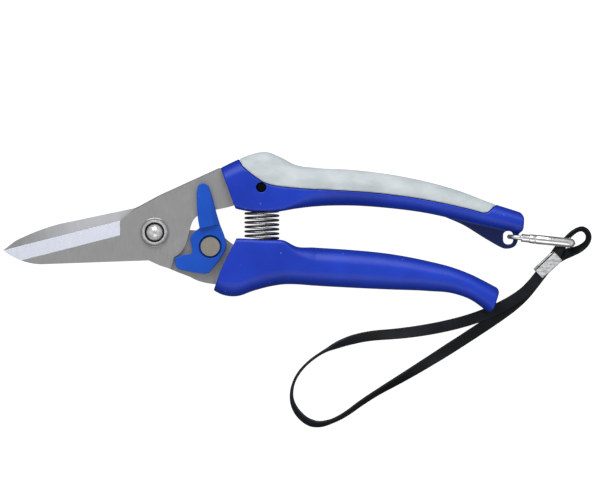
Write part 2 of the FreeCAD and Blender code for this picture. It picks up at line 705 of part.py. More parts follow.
# Control points of the short loop round the far end of the hook, standing on edge.
HOOK_ROUTE = (
    (155.95, -9.5, 2.3), (159.0, -7.9, 2.3), (163.4, -6.7, 2.3), (167.2, -4.0, 2.3), (167.3, -0.7, 2.3),
    (164.7, 1.4, 3.0), (161.2, 0.3, 4.4), (157.0, -3.8, 5.2), (155.7, -6.3, 4.4), (154.85, -8.3, 2.9),
)
ARC_SHARE = 0.45


def route_path(label, points):
    """Straight runs joined by tangent arcs, each as large as its two runs allow."""
    places = [Vector(*point) for point in points]
    edges = []
    radii = []
    leaving = places[0]
    for before, corner, after in zip(places, places[1:], places[2:]):
        back, ahead = before - corner, after - corner
        reach = ARC_SHARE * min(back.Length, ahead.Length)
        turn = math.pi - back.getAngle(ahead)
        radii.append(reach / math.tan(turn / 2))
        start = corner + back.normalize() * reach
        end = corner + ahead.normalize() * reach
        inward = (start + end) * 0.5 - corner
        rise = radii[-1] / math.cos(turn / 2) - radii[-1]
        middle = corner + inward.normalize() * rise
        edges.append(Part.LineSegment(leaving, start).toShape())
        edges.append(Part.Arc(start, middle, end).toShape())
        leaving = end
    edges.append(Part.LineSegment(leaving, places[-1]).toShape())
    path = Part.Wire(edges)
    print(f"{label}: length {path.Length:.1f} mm, radii", [round(radius, 1) for radius in radii])
    return path


def ribbon(label, points, upright):
    """A flat strap along the route: lying flat, or standing on edge when upright."""
    path = route_path(label, points)
    start = Vector(*points[0])
    ahead = (Vector(*points[1]) - start).normalize()
    across = Vector(0, 0, 1).cross(ahead).normalize()
    up = Vector(0, 0, 1)
    wide, thick = size("strap_wide") / 2, size("strap_thick") / 2
    half_across, half_up = (thick, wide) if upright else (wide, thick)
    corners = []
    for side, rise in ((-1, -1), (1, -1), (1, 1), (-1, 1), (-1, -1)):
        corners.append(start + across * (side * half_across) + up * (rise * half_up))
    sweep = Part.BRepOffsetAPI.MakePipeShell(path)
    sweep.setBiNormalMode(Vector(0, 0, 1))
    sweep.add(Part.makePolygon(corners))
    sweep.build()
    sweep.makeSolid()
    strap = sweep.shape()
    expected = size("strap_wide") * size("strap_thick") * path.Length
    print(f"{label}: volume {strap.Volume:.1f} mm3, section times length {expected:.1f} mm3")
    return strap


def make_crimp():
    """Flattened metal band that holds the strap's ends, its passage along its own X."""
    long, wide, tall, wall = size("crimp_long"), size("crimp_wide"), size("crimp_tall"), size("crimp_wall")
    band = Part.makeBox(long, wide, tall, Vector(-long / 2, -wide / 2, 0))
    long_edges = [edge for edge in band.Edges if abs(edge.BoundBox.XLength - long) < 1e-6]
    band = band.makeFillet(0.9, long_edges)
    passage_foot = Vector(-long / 2 - 1, wall - wide / 2, wall)
    passage = Part.makeBox(long + 2, wide - 2 * wall, tall - 2 * wall, passage_foot)
    foot = Vector(size("crimp_x"), size("crimp_y"), 0.05)
    place = Placement(foot, Rotation(Vector(0, 0, 1), size("crimp_turn")))
    finish_piece(solid_piece("crimp_band", band.cut(passage)), "strap_ferrule", place)


def make_strap():
    make_crimp()
    wrist = ribbon("wrist_strap", WRIST_ROUTE, False)
    finish_piece(solid_piece("wrist_loop", wrist), "wrist_strap", Placement())
    small = ribbon("hook_loop", HOOK_ROUTE, True)
    finish_piece(solid_piece("hook_end", small), "hook_loop", Placement())


# ---------------------------------------------------------------- build, check and write

def check_model():
    """Stop unless every object is computed and every piece is one valid solid."""
    problems = []
    for item in doc.Objects:
        if "Invalid" in item.State or "Error" in item.State:
            problems.append(f"{item.Label}: {item.State}")
    for item in subparts:
        shape = item.Shape
        if shape.isNull() or not shape.isValid():
            problems.append(f"{item.Label}: shape is null or not valid")
        elif len(shape.Solids) != 1:
            problems.append(f"{item.Label}: {len(shape.Solids)} solids")
    if problems:
        raise RuntimeError("; ".join(problems))


def write_parts():
    os.makedirs("parts", exist_ok=True)
    for item in subparts:
        item.Shape.exportStep(os.path.join("parts", item.Label + ".step"))
        box = item.Shape.BoundBox
        print(f"{item.Label:20s} {item.Shape.Volume:9.1f} mm3  x {box.XMin:7.2f} {box.XMax:7.2f}"
              f"  y {box.YMin:7.2f} {box.YMax:7.2f}  z {box.ZMin:6.2f} {box.ZMax:6.2f}")


front_plate, back_plate = make_blades()
make_pivot()
make_latch()
make_grips(front_plate, back_plate)
make_return_spring()
make_hook()
make_strap()
doc.recompute()
check_model()
write_parts()
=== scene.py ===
import math

import bmesh
import bpy
import numpy as np
from mathutils import Matrix, Vector


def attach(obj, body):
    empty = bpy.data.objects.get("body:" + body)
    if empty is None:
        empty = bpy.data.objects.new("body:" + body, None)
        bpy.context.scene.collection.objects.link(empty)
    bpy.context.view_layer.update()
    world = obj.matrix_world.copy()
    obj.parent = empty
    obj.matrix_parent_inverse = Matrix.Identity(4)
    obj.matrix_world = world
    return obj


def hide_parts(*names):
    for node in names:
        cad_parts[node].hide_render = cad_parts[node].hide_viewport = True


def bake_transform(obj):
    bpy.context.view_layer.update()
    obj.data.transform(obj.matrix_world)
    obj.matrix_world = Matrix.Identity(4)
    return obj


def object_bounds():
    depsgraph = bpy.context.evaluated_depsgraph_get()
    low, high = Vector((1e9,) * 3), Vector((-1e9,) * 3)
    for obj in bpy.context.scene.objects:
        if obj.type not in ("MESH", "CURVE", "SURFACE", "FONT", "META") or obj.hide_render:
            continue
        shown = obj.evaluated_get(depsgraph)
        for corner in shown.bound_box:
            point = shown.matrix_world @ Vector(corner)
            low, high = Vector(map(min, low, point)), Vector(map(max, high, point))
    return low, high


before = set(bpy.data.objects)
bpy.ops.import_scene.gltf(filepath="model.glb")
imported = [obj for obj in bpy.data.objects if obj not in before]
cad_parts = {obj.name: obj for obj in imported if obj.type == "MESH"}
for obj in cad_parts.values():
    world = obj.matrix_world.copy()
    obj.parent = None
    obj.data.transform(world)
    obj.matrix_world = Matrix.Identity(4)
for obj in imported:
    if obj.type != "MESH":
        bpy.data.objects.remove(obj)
cad_low, cad_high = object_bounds()

# Outlines are written about the pivot, in millimetres, and placed in the frame by at().
PIVOT = (-51.775, -0.3)
MM = 0.001

# The view, in frame millimetres: the point at its centre, its width and the camera's height over it.
VIEW_CENTRE = (4.1, -6.9, 8.0)
VIEW_WIDE = 231.0
CAMERA_UP = 1600.0
SENSOR = 36.0

# Brightness of the sky from the horizon (0) to straight up (1), dimmer overhead.
SKY_STOPS = ((0.0, 0.14), (0.3, 0.55), (0.70, 0.95), (0.90, 0.62), (0.97, 0.40), (1.0, 0.36))
SKY_TINT = (0.98, 1.0, 1.03)
SKY_STRENGTH = 0.72
# Each lamp's name, place and width in metres, power in watts and colour.
LAMPS = (
    ("key", (-0.15, 1.2, 0.85), 1.2, 17.0, (0.93, 0.96, 1.0)),
    ("fill", (0.1, -1.0, 1.2), 1.0, 3.0, (1.0, 0.99, 0.97)),
)
FLOOR_HALF = 1.5
FLOOR_GLOW = 0.97


def at(x, y, z):
    """A point given about the pivot in millimetres, as a frame point in metres."""
    return Vector(((x + PIVOT[0]) * MM, (y + PIVOT[1]) * MM, z * MM))


# ---------------------------------------------------------------- camera, lights and floor

def make_camera():
    """A long lens straight above the object."""
    x, y, z = VIEW_CENTRE
    data = bpy.data.cameras.new("camera")
    data.sensor_width = SENSOR
    data.lens = SENSOR * CAMERA_UP / VIEW_WIDE
    camera = bpy.data.objects.new("camera", data)
    camera.location = (x * MM, y * MM, (z + CAMERA_UP) * MM)
    bpy.context.scene.collection.objects.link(camera)
    bpy.context.scene.camera = camera


def area_light(name, place, width, power, colour):
    """A square lamp that faces the frame's origin."""
    data = bpy.data.lights.new(name, "AREA")
    data.shape = "SQUARE"
    data.size = width
    data.energy = power
    data.color = colour
    lamp = bpy.data.objects.new(name, data)
    lamp.location = place
    lamp.rotation_mode = "QUATERNION"
    lamp.rotation_quaternion = (-Vector(place)).to_track_quat("-Z", "Y")
    bpy.context.scene.collection.objects.link(lamp)


def make_sky():
    """Soft light from above that falls off towards the horizon."""
    world = bpy.data.worlds.new("studio")
    bpy.context.scene.world = world
    world.use_nodes = True
    nodes, links = world.node_tree.nodes, world.node_tree.links
    nodes.clear()
    coord = nodes.new("ShaderNodeTexCoord")
    split = nodes.new("ShaderNodeSeparateXYZ")
    ramp = nodes.new("ShaderNodeValToRGB")
    sky = nodes.new("ShaderNodeBackground")
    out = nodes.new("ShaderNodeOutputWorld")
    stops = ramp.color_ramp.elements
    stops.remove(stops[1])
    for position, grey in SKY_STOPS:
        stop = stops[0] if position == 0.0 else stops.new(position)
        stop.color = (*(grey * part for part in SKY_TINT), 1)
    links.new(coord.outputs["Generated"], split.inputs[0])
    links.new(split.outputs["Z"], ramp.inputs[0])
    links.new(ramp.outputs[0], sky.inputs["Color"])
    sky.inputs["Strength"].default_value = SKY_STRENGTH
    links.new(sky.outputs[0], out.inputs[0])


def make_floor():
    """A light table under the object's lowest point."""
    corners = [(x * FLOOR_HALF, y * FLOOR_HALF, cad_low.z) for x, y in ((-1, -1), (1, -1), (1, 1), (-1, 1))]
    mesh = bpy.data.meshes.new("floor")
    mesh.from_pydata(corners, [], [(0, 1, 2, 3)])
    floor = bpy.data.objects.new("floor", mesh)
    bpy.context.scene.collection.objects.link(floor)
    paper, look = material("floor_light_table", (0.25, 0.25, 0.25), 0.9)
    look.inputs["Specular IOR Level"].default_value = 0.0
    look.inputs["Emission Color"].default_value = (1.0, 1.0, 1.0, 1)
    look.inputs["Emission Strength"].default_value = FLOOR_GLOW
    grain = noise(paper, 40.0, 3.0)
    tint(paper, look, grain, (0.24, 0.24, 0.24), (0.26, 0.26, 0.26))
    mesh.materials.append(paper)
    # The floor is bright in itself and throws no light back, so the object's lower edges stay dark.
    floor.visible_diffuse = False
    floor.visible_glossy = False


def make_stage():
    """Sky, lamps and floor, shown in plain display colours."""
    bpy.context.scene.view_settings.view_transform = "Standard"
    make_sky()
    for lamp in LAMPS:
        area_light(*lamp)
    make_floor()


# ---------------------------------------------------------------- material helpers

# The part of a noise's range that the materials spread from one value to another.
NOISE_LOW, NOISE_HIGH = 0.3, 0.7


def material(name, colour, roughness, metallic=0.0):
    """A new material and its surface shader."""
    made = bpy.data.materials.new(name)
    made.use_nodes = True
    look = made.node_tree.nodes["Principled BSDF"]
    look.inputs["Base Color"].default_value = (*colour, 1)
    look.inputs["Roughness"].default_value = roughness
    look.inputs["Metallic"].default_value = metallic
    made.diffuse_color = (*colour, 1)
    return made, look


def coordinates(made, stretch=(1, 1, 1), turn=0.0):
    """Object coordinates in metres, turned about Z in degrees and stretched along each axis."""
    nodes, links = made.node_tree.nodes, made.node_tree.links
    source = nodes.new("ShaderNodeTexCoord")
    mapping = nodes.new("ShaderNodeMapping")
    mapping.inputs["Scale"].default_value = stretch
    mapping.inputs["Rotation"].default_value = (0, 0, math.radians(turn))
    links.new(source.outputs["Object"], mapping.inputs["Vector"])
    return mapping.outputs[0]


def noise(made, scale, detail=2.0, stretch=(1, 1, 1), turn=0.0):
    """Noise with about scale features to the metre."""
    texture = made.node_tree.nodes.new("ShaderNodeTexNoise")
    texture.inputs["Scale"].default_value = scale
    texture.inputs["Detail"].default_value = detail
    made.node_tree.links.new(coordinates(made, stretch, turn), texture.inputs["Vector"])
    return texture.outputs["Fac"]


def ranged(made, value, low, high, to_low, to_high):
    """The value mapped from one range to another, and held at its ends."""
    node = made.node_tree.nodes.new("ShaderNodeMapRange")
    for name, number in (("From Min", low), ("From Max", high), ("To Min", to_low), ("To Max", to_high)):
        node.inputs[name].default_value = number
    made.node_tree.links.new(value, node.inputs["Value"])
    return node.outputs[0]


def rising(made, value, low, high):
    """0 below low, 1 above high."""
    return ranged(made, value, low, high, 0.0, 1.0)


def falling(made, value, low, high):
    """1 below low, 0 above high."""
    return ranged(made, value, low, high, 1.0, 0.0)


def spread(made, value):
    """A noise spread to run from 0 to 1."""
    return rising(made, value, NOISE_LOW, NOISE_HIGH)


def mixed(made, factor, first, second):
    """A colour between two others, each a colour or another node's output."""
    node = made.node_tree.nodes.new("ShaderNodeMix")
    node.data_type = "RGBA"
    links = made.node_tree.links
    links.new(factor, node.inputs[0])
    sockets = [s for s in node.inputs if s.type == "RGBA"]
    for socket, colour in zip(sockets, (first, second)):
        if isinstance(colour, tuple):
            socket.default_value = (*colour, 1)
        else:
            links.new(colour, socket)
    return [s for s in node.outputs if s.type == "RGBA"][0]


def colour_by(made, look, colour):
    """Take the base colour from a node's output."""
    made.node_tree.links.new(colour, look.inputs["Base Color"])


def tint(made, look, value, first, second, low=NOISE_LOW, high=NOISE_HIGH):
    """Vary the base colour between two colours with the value."""
    colour_by(made, look, mixed(made, rising(made, value, low, high), first, second))


def rough(made, look, value, first, second):
    """Vary the roughness between two values with a noise."""
    varied = ranged(made, value, NOISE_LOW, NOISE_HIGH, first, second)
    made.node_tree.links.new(varied, look.inputs["Roughness"])


def bump(made, look, value, depth, strength=1.0):
    """Raise the surface by up to depth metres with the value."""
    node = made.node_tree.nodes.new("ShaderNodeBump")
    node.inputs["Strength"].default_value = strength
    node.inputs["Distance"].default_value = depth
    made.node_tree.links.new(value, node.inputs["Height"])
    made.node_tree.links.new(node.outputs[0], look.inputs["Normal"])


def upward(made):
    """How far the face looks up or down: 1 on a level face, 0 on an upright one."""
    nodes, links = made.node_tree.nodes, made.node_tree.links
    source = nodes.new("ShaderNodeTexCoord")
    split = nodes.new("ShaderNodeSeparateXYZ")
    size = nodes.new("ShaderNodeMath")
    size.operation = "ABSOLUTE"
    links.new(source.outputs["Normal"], split.inputs[0])
    links.new(split.outputs["Z"], size.inputs[0])
    return size.outputs[0]


def place_value(made, axis):
    """The X, Y or Z coordinate in metres."""
    nodes, links = made.node_tree.nodes, made.node_tree.links
    split = nodes.new("ShaderNodeSeparateXYZ")
    links.new(coordinates(made), split.inputs[0])
    return split.outputs[axis]


def projected(made, along):
    """The coordinates' product with a vector, in metres."""
    dot = made.node_tree.nodes.new("ShaderNodeVectorMath")
    dot.operation = "DOT_PRODUCT"
    dot.inputs[1].default_value = along
    made.node_tree.links.new(coordinates(made), dot.inputs[0])
    return dot.outputs["Value"]


def multiplied(made, first, second):
    """The product of two values, which keeps what both masks keep."""
    node = made.node_tree.nodes.new("ShaderNodeMath")
    node.operation = "MULTIPLY"
    made.node_tree.links.new(first, node.inputs[0])
    made.node_tree.links.new(second, node.inputs[1])
    return node.outputs[0]


def around(made, x, y):
    """Distance in metres from the upright line at a point about the pivot, in millimetres."""
    nodes, links = made.node_tree.nodes, made.node_tree.links
    flatten = nodes.new("ShaderNodeVectorMath")
    flatten.operation = "MULTIPLY"
    flatten.inputs[1].default_value = (1, 1, 0)
    gap = nodes.new("ShaderNodeVectorMath")
    gap.operation = "DISTANCE"
    gap.inputs[1].default_value = at(x, y, 0)
    links.new(coordinates(made), flatten.inputs[0])
    links.new(flatten.outputs[0], gap.inputs[0])
    return gap.outputs["Value"]


# ---------------------------------------------------------------- materials

# Where the painted highlight along a jaw comes up from the tip and goes down towards the pivot, about the
# pivot.
PAINTED_SHEEN_UP = (-52.0, -30.0)
PAINTED_SHEEN_DOWN = (-12.0, 4.0)
# How far a face may lean before it counts as a bevel, as its normal's upright part.
BEVEL_LEAN = (0.965, 0.985)


def frame_x(*places):
    """Distances along X about the pivot in millimetres, as frame distances in metres."""
    return [at(x, 0, 0).x for x in places]


def frame_y(*places):
    """Distances along Y about the pivot in millimetres, as frame distances in metres."""
    return [at(0, y, 0).y for y in places]


def blade_steel(name, dark, light, painted_sheen):
    """Cross-brushed steel with pale ground bevels; painted_sheen, from 0 to 1, paints a highlight that
    lightens it along the jaw.
    """
    made, look = material(name, light, 0.42, 1.0)
    lines = noise(made, 3200, 3.0, (1.0, 0.06, 0.06), 8.0)
    clouds = noise(made, 90, 3.0)
    brushed = mixed(made, spread(made, lines), dark, light)
    shaded = mixed(made, ranged(made, clouds, 0.35, 0.7, 0.0, 0.6), brushed, dark)
    along = place_value(made, "X")
    from_tip = ranged(made, along, *frame_x(*PAINTED_SHEEN_UP), 0.0, painted_sheen)
    to_pivot = falling(made, along, *frame_x(*PAINTED_SHEEN_DOWN))
    # Painted highlight: the jaw is lightened from its tip towards the pivot.
    jaw = mixed(made, multiplied(made, from_tip, to_pivot), shaded, (0.86, 0.85, 0.87))
    bevel_lines = noise(made, 4200, 2.0, (0.4, 1.0, 1.0), 14.0)
    ground = mixed(made, spread(made, bevel_lines), (0.33, 0.335, 0.365), (0.36, 0.365, 0.395))
    level = rising(made, upward(made), *BEVEL_LEAN)
    colour_by(made, look, mixed(made, level, ground, jaw))
    rough(made, look, lines, 0.40, 0.46)
    bump(made, look, lines, 0.00001, 0.3)
    return made


def bright_metal():
    """Polished nickel plate with faint cloudy wear and hairline scratches."""
    made, look = material("polished_plate", (0.80, 0.79, 0.77), 0.12, 0.88)
    wear = noise(made, 700, 4.0)
    hair = noise(made, 5200, 2.0, (1.0, 0.08, 0.5), 35.0)
    tint(made, look, wear, (0.74, 0.73, 0.71), (0.95, 0.945, 0.93))
    rough(made, look, hair, 0.08, 0.24)
    bump(made, look, wear, 0.00003, 0.35)
    return made


# Distances from the pivot's axis, in metres, over which one look gives way to the next; the painted shade
# of the gap lies between DOME_EDGE and COLLAR_BORE.
DOME_EDGE = (0.00305, 0.00320)
COLLAR_BORE = (0.00380, 0.00388)
COLLAR_FOOT = (0.00484, 0.00494)


def pivot_metal():
    """Polished plate with painted shade in a dark gap between the dome and its collar, and a plain steel
    foot.
    """
    made, look = material("pivot_plate", (0.85, 0.84, 0.82), 0.14, 0.5)
    wear = noise(made, 900, 4.0)
    radius = around(made, 0, 0)
    plate = mixed(made, spread(made, wear), (0.62, 0.61, 0.59), (0.96, 0.955, 0.94))
    # Painted shade: the gap between the dome and its collar goes near black.
    gap = multiplied(made, rising(made, radius, *DOME_EDGE), falling(made, radius, *COLLAR_BORE))
    with_painted_gap_shade = mixed(made, gap, plate, (0.03, 0.03, 0.032))
    foot = rising(made, radius, *COLLAR_FOOT)
    colour_by(made, look, mixed(made, foot, with_painted_gap_shade, (0.30, 0.295, 0.285)))
    rough(made, look, wear, 0.08, 0.26)
    bump(made, look, wear, 0.00008, 0.6)
    return made


# Half the width of the painted shade line along the crimp's seam and the width of its soft edge, in metres.
SEAM_SHADE_HALF = 0.00018
SEAM_SHADE_SOFT = 0.00010


def crimp_metal():
    """Bright rolled tin plate, scuffed along its length, with a dark line of painted shade along its seam.
    """
    made, look = material("crimp_plate", (0.90, 0.89, 0.87), 0.2, 0.25)
    scuffs = noise(made, 1100, 5.0, (0.3, 1.0, 1.0), -CRIMP_TURN)
    blotch = noise(made, 330, 3.0)
    plate = mixed(made, rising(made, scuffs, 0.38, 0.52), (0.66, 0.65, 0.635), (1.0, 0.995, 0.985))
    dull = ranged(made, blotch, 0.58, 0.66, 0.0, 0.7)
    scuffed = mixed(made, dull, plate, (0.16, 0.155, 0.15))
    turn = math.radians(CRIMP_TURN)
    over = Vector((-math.sin(turn), math.cos(turn), 0))
    seam = at(*CRIMP).dot(over) + SEAM_AT * MM
    place = projected(made, over)
    above = rising(made, place, seam - SEAM_SHADE_HALF - SEAM_SHADE_SOFT, seam - SEAM_SHADE_HALF)
    below = falling(made, place, seam + SEAM_SHADE_HALF, seam + SEAM_SHADE_HALF + SEAM_SHADE_SOFT)
    # Painted shade: a near-black line along the seam's groove.
    colour_by(made, look, mixed(made, multiplied(made, above, below), scuffed, (0.02, 0.02, 0.02)))
    rough(made, look, scuffs, 0.12, 0.34)
    bump(made, look, scuffs, 0.00008, 0.6)
    return made


def rivet_steel():
    """Satin steel of the rivet, warm grey with a fine grain."""
    made, look = material("turned_rivet_steel", (0.48, 0.455, 0.43), 0.45, 1.0)
    grain = noise(made, 5200, 3.0)
    tint(made, look, grain, (0.37, 0.335, 0.275), (0.50, 0.465, 0.395))
    rough(made, look, grain, 0.38, 0.55)
    bump(made, look, grain, 0.00002, 0.5)
    return made


def spring_steel():
    """Dark drawn wire, still bright where it catches the light."""
    made, look = material("spring_wire", (0.60, 0.58, 0.56), 0.2, 1.0)
    grain = noise(made, 2600, 3.0)
    tint(made, look, grain, (0.17, 0.16, 0.165), (0.50, 0.485, 0.50))
    rough(made, look, grain, 0.14, 0.30)
    bump(made, look, grain, 0.00003, 0.3)
    return made


# How far painted shade turns the plastic to its rim colour down its sides, from what lean to what
# lean, and the rim colour as a share of the dark one.
PAINTED_RIM_SHADE = 0.65
PAINTED_RIM_LEAN = (0.15, 0.95)
PAINTED_RIM_DARK = 0.25
# Dust specks: how many cells to the metre, and the radius of a speck within its cell.
DUST_CELLS = 210
DUST_EDGE = (0.035, 0.075)


def plastic_base(made, dark, light, specks):
    """Slow colour drift with a few pale specks of dust, and painted shade that deepens the colour down the
    steep sides.
    """
    drift = noise(made, 45, 3.0)
    base = mixed(made, spread(made, drift), dark, light)
    dust = made.node_tree.nodes.new("ShaderNodeTexVoronoi")
    dust.inputs["Scale"].default_value = DUST_CELLS
    made.node_tree.links.new(coordinates(made), dust.inputs["Vector"])
    spot = ranged(made, dust.outputs["Distance"], *DUST_EDGE, specks, 0.0)
    dusted = mixed(made, spot, base, (0.30, 0.36, 0.80))
    # Painted shade: the steep sides darken towards the rim colour.
    painted_rim_shade = ranged(made, upward(made), *PAINTED_RIM_LEAN, PAINTED_RIM_SHADE, 0.0)
    return mixed(made, painted_rim_shade, dusted, tuple(PAINTED_RIM_DARK * part for part in dark))


def plastic_finish(made, look, base):
    """Semi-gloss with a fine moulded grain."""
    grain = noise(made, 1900, 3.0)
    colour_by(made, look, base)
    rough(made, look, grain, 0.30, 0.44)
    bump(made, look, grain, 0.00006, 0.35)
    return made


def latch_plastic():
    """Bright blue moulded plastic."""
    made, look = material("latch_blue", (0.010, 0.10, 0.55), 0.36)
    look.inputs["Specular IOR Level"].default_value = 0.3
    return plastic_finish(made, look, plastic_base(made, (0.006, 0.074, 0.46), (0.012, 0.105, 0.62), 0.15))


# Painted shade on the thin fin under the upper grip's tail: where it starts along X and ends along Y about
# the pivot, how high it reaches, and the sloped line under the bar, all with soft edges.
FIN_START = (110.0, 112.0)
FIN_LOWEST = (-9.0, -8.0)
FIN_TOP = (0.0108, 0.0114)
TAIL_SLOPE = 0.2167
UNDER_BAR = (0.0183, 0.0189)
# Painted shade in the peg hole: its edge, as distances from its axis, and the height of its floor, in
# metres.
BORE_EDGE = (0.00180, 0.00195)
BORE_FLOOR = (0.0105, 0.0110)


def grip_plastic():
    """Royal blue, with painted shade that makes the thin fin almost navy and the bore of the peg hole black.
    """
    made, look = material("grip_blue", (0.010, 0.042, 0.46), 0.38)
    look.inputs["Specular IOR Level"].default_value = 0.3
    base = plastic_base(made, (0.008, 0.036, 0.42), (0.014, 0.058, 0.60), 0.45)
    height = place_value(made, "Z")
    behind = rising(made, place_value(made, "X"), *frame_x(*FIN_START))
    lowered = falling(made, height, *FIN_TOP)
    under_bar = falling(made, projected(made, (TAIL_SLOPE, 1, 0)), *UNDER_BAR)
    above = rising(made, place_value(made, "Y"), *frame_y(*FIN_LOWEST))
    # Painted shade: the fin, low down and under the bar's overhang, goes almost navy.
    fin = multiplied(made, multiplied(made, behind, lowered), multiplied(made, above, under_bar))
    with_painted_fin_shade = mixed(made, fin, base, (0.003, 0.010, 0.075))
    # Painted shade: the bore of the peg hole goes near black.
    near_hole = falling(made, around(made, *PEG_HOLE), *BORE_EDGE)
    bore = multiplied(made, near_hole, rising(made, height, *BORE_FLOOR))
    return plastic_finish(made, look, mixed(made, bore, with_painted_fin_shade, (0.002, 0.003, 0.012)))


def soft_insert():
    """Matt pale grey rubber, faintly mottled."""
    made, look = material("soft_grey_rubber", (0.58, 0.62, 0.62), 0.62)
    look.inputs["Specular IOR Level"].default_value = 0.35
    drift = noise(made, 90, 5.0, (1.0, 1.8, 1.0))
    grain = noise(made, 2400, 3.0)
    tint(made, look, drift, (0.50, 0.55, 0.55), (0.67, 0.705, 0.71), 0.35, 0.65)
    rough(made, look, grain, 0.55, 0.70)
    bump(made, look, grain, 0.00008, 0.4)
    return made


def strap_black():
    """Flexible black strap, with a dull bluish painted highlight in patches and a fine grain."""
    made, look = material("black_strap", (0.006, 0.007, 0.009), 0.40)
    look.inputs["Specular IOR Level"].default_value = 0.22
    grain = noise(made, 1500, 4.0)
    patches = noise(made, 55, 3.0)
    fine = mixed(made, spread(made, grain), (0.002, 0.0025, 0.003), (0.007, 0.008, 0.010))
    # Painted highlight: patches of dull bluish reflection over the black.
    painted_sheen = ranged(made, patches, 0.48, 0.68, 0.0, 0.8)
    colour_by(made, look, mixed(made, painted_sheen, fine, (0.016, 0.021, 0.031)))
    rough(made, look, grain, 0.34, 0.50)
    bump(made, look, grain, 0.00005, 0.4)
    return made


# ---------------------------------------------------------------- mesh helpers

# Heights below and above every grip, for upright prisms that cut right through.
BELOW, ABOVE = -5.0, 25.0
# The length of an upright drill, which comes out above every piece.
DRILL = 20.0
# The strength of a smoothing pass, the extra passes at a tail and the length over which they set in.
SMOOTH_FACTOR = 0.5
TAIL_PASSES = 14
TAIL_FADE = 1.5


def mesh_object(name, points, faces):
    """A linked object with its faces turned outwards."""
    mesh = bpy.data.meshes.new(name)
    mesh.from_pydata([tuple(p) for p in points], [], faces)
    made = bpy.data.objects.new(name, mesh)
    bpy.context.scene.collection.objects.link(made)
    shell = bmesh.new()
    shell.from_mesh(mesh)
    bmesh.ops.recalc_face_normals(shell, faces=shell.faces)
    shell.to_mesh(mesh)
    shell.free()
    return made


def loft(name, rings, closed=False):
    """A skin over rings of equal length, with a cap on each end unless it closes on itself."""
    count = len(rings[0])
    points = [p for ring in rings for p in ring]
    faces = []
    for row in range(len(rings) if closed else len(rings) - 1):
        for i in range(count):
            j = (i + 1) % count
            a, b = row * count, (row + 1) % len(rings) * count
            faces.append((a + i, a + j, b + j, b + i))
    if not closed:
        faces.append(tuple(range(count)))
        faces.append(tuple((len(rings) - 1) * count + i for i in range(count)))
    return mesh_object(name, points, faces)


def prism(name, outline, low=BELOW, high=ABOVE):
    """An upright prism of an outline about the pivot, in millimetres."""
    return loft(name, [[at(x, y, z) for x, y in outline] for z in (low, high)])


def circle(middle, first, second, radius, steps):
    """Points round a circle, from the direction first towards the direction second."""
    turns = (2 * math.pi * step / steps for step in range(steps))
    return [middle + (first * math.cos(turn) + second * math.sin(turn)) * radius for turn in turns]


def bar(name, foot, along, radius, steps=64):
    """A round bar from foot along a vector, in metres."""
    along = Vector(along)
    side = along.orthogonal().normalized()
    other = along.normalized().cross(side)
    ends = (Vector(foot), Vector(foot) + along)
    return loft(name, [circle(end, side, other, radius, steps) for end in ends])


def through(points, steps=6):
    """A smooth line through the points."""
    line = []
    count = len(points)
    for i in range(count - 1):
        before, start = Vector(points[max(i - 1, 0)]), Vector(points[i])
        end, after = Vector(points[i + 1]), Vector(points[min(i + 2, count - 1)])
        for step in range(steps):
            t = step / steps
            line.append(0.5 * (2 * start + (end - before) * t
                               + (2 * before - 5 * start + 4 * end - after) * t ** 2
                               + (3 * start - before - 3 * end + after) * t ** 3))
    line.append(Vector(points[-1]))
    return [tuple(p) for p in line]


def settle(made):
    """Make the modifiers' result the object's own mesh."""
    graph = bpy.context.evaluated_depsgraph_get()
    mesh = bpy.data.meshes.new_from_object(made.evaluated_get(graph))
    made.modifiers.clear()
    old = made.data
    made.data = mesh
    bpy.data.meshes.remove(old)
    return made


def carve(made, tool, operation="DIFFERENCE", keep_tool=False):
    """Combine two closed meshes."""
    change = made.modifiers.new("carve", "BOOLEAN")
    change.object = tool
    change.operation = operation
    change.solver = "EXACT"
    settle(made)
    if not keep_tool:
        bpy.data.objects.remove(tool)
    return made


def mould(made, voxel, passes, soft_from=None):
    """Rebuild the surface evenly and soften its edges; past soft_from along X they are rounder."""
    remesh = made.modifiers.new("even", "REMESH")
    remesh.mode = "VOXEL"
    remesh.voxel_size = voxel * MM
    soften = made.modifiers.new("soften", "SMOOTH")
    soften.factor = SMOOTH_FACTOR
    soften.iterations = passes
    settle(made)
    if soft_from is not None:
        start = at(soft_from, 0, 0).x
        tail = made.vertex_groups.new(name="tail")
        for vertex in made.data.vertices:
            share = (vertex.co.x - start) / (TAIL_FADE * MM)
            if share > 0.0:
                tail.add([vertex.index], min(share, 1.0), "REPLACE")
        rounder = made.modifiers.new("rounder", "SMOOTH")
        rounder.vertex_group = "tail"
        rounder.factor = SMOOTH_FACTOR
        rounder.iterations = TAIL_PASSES
        settle(made)
        made.vertex_groups.clear()
    made.data.shade_smooth()
    return made


def dress(made, look, body, slot, *nodes):
    """Give a finished piece its material and body, and hide the CAD nodes that it stands for; slot is not
    used.
    """
    made.data.materials.clear()
    made.data.materials.append(look)
    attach(made, body)
    if nodes:
        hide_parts(*nodes)
    return made


# ---------------------------------------------------------------- strap

STRAP_WIDE = 4.4
STRAP_THICK = 1.1
# The strap's upper side: shares of its half width and half thickness, with a groove near each edge.
STRAP_TOP = (
    (-0.80, 1.0), (-0.66, 0.90), (-0.5, 1.0), (-0.25, 1.0), (0.0, 1.0),
    (0.25, 1.0), (0.5, 1.0), (0.66, 0.90), (0.80, 1.0),
)
STRAP_EDGE = ((0.93, 0.72), (1.0, 0.0), (0.93, -0.72))
